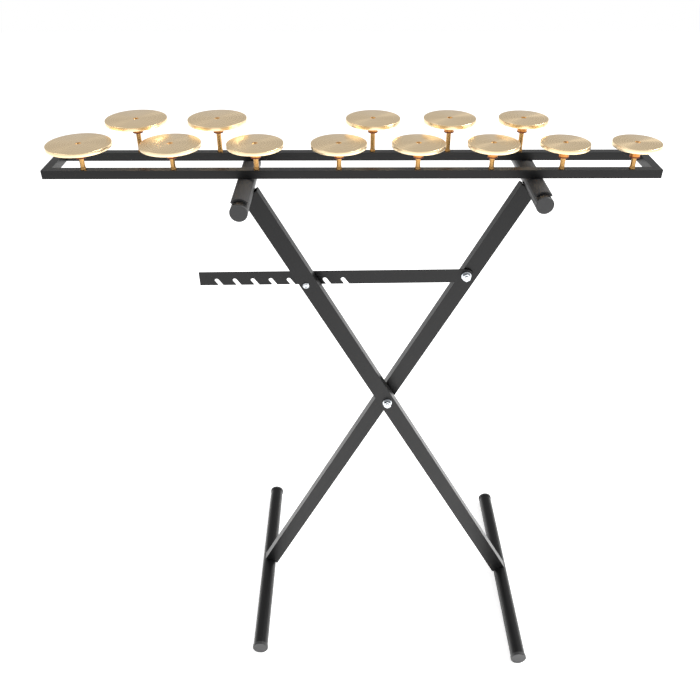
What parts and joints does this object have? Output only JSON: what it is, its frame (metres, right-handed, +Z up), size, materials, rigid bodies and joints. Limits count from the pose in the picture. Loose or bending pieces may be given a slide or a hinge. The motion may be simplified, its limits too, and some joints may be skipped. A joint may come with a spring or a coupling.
{
  "type": "crotales",
  "caption": "Tuned bronze discs in two rows on posts over a rectangular tray, carried by a folding black X-stand with a slotted height bar.",
  "frame": {"origin": "on the floor under the middle of the tray, midway between the two legs (bottom centre of the bounding box)", "axes": "+Z up, +X from the low notes to the high notes, +Y from the natural row to the accidental row"},
  "size_m": [0.994, 0.4896, 1.0429],
  "materials": {
    "black_enamel": "gloss",
    "bronze": "lathe-turned",
    "post_brass": "turned",
    "black_rubber": "matte",
    "black_plastic": "matte",
    "zinc": "zinc-plated"
  },
  "bodies": {
    "fixed_half": {"front_leg": "black_enamel", "right_foot_tube": "black_enamel", "right_front_foot_cap": "black_plastic", "right_back_foot_cap": "black_plastic", "left_support_tube": "black_enamel", "left_front_support_cap": "black_plastic", "left_back_support_cap": "black_plastic", "left_pad": "black_rubber", "pivot_bolt": "zinc", "pivot_nut": "zinc", "pivot_front_washer": "zinc", "pivot_back_washer": "zinc", "pivot_spacer": "zinc", "catch_bolt": "zinc", "catch_nut": "zinc"},
    "folding_half": {"back_leg": "black_enamel", "left_foot_tube": "black_enamel", "left_front_foot_cap": "black_plastic", "left_back_foot_cap": "black_plastic", "right_support_tube": "black_enamel", "right_front_support_cap": "black_plastic", "right_back_support_cap": "black_plastic", "right_pad": "black_rubber", "bar_bolt": "zinc", "bar_nut": "zinc", "bar_front_washer": "zinc", "bar_back_washer": "zinc"},
    "bar": {"height_bar": "black_enamel"},
    "tray": {"front_rail": "black_enamel", "back_rail": "black_enamel", "left_rail": "black_enamel", "right_rail": "black_enamel", "post_c_low": "post_brass", "post_c_sharp": "post_brass", "post_d": "post_brass", "post_d_sharp": "post_brass", "post_e": "post_brass", "post_f": "post_brass", "post_f_sharp": "post_brass", "post_g": "post_brass", "post_g_sharp": "post_brass", "post_a": "post_brass", "post_a_sharp": "post_brass", "post_b": "post_brass", "post_c_high": "post_brass", "disc_c_low": "bronze", "disc_c_sharp": "bronze", "disc_d": "bronze", "disc_d_sharp": "bronze", "disc_e": "bronze", "disc_f": "bronze", "disc_f_sharp": "bronze", "disc_g": "bronze", "disc_g_sharp": "bronze", "disc_a": "bronze", "disc_a_sharp": "bronze", "disc_b": "bronze", "disc_c_high": "bronze"}
  },
  "joints": [
    {"name": "fold", "type": "hinge", "parent": "fixed_half", "child": "folding_half", "pos_m": [0.069, 0, 0.517], "axis": [0, -1, 0], "range_deg": [0, 50]},
    {"name": "bar_swing", "type": "hinge", "parent": "folding_half", "child": "bar", "pos_m": [0.20263, 0, 0.78341], "axis": [0, 1, 0], "range_deg": [0, 90]},
    {"name": "tray_lift", "type": "slide", "parent": "fixed_half", "child": "tray", "axis": [0, 0, 1], "range_m": [0, 0.301]}
  ],
  "couplings": [
    {"joint": "bar_swing", "follows": "fold", "ratio": 1.8},
    {"joint": "tray_lift", "follows": "fold", "m_per_rad": 0.344}
  ]
}
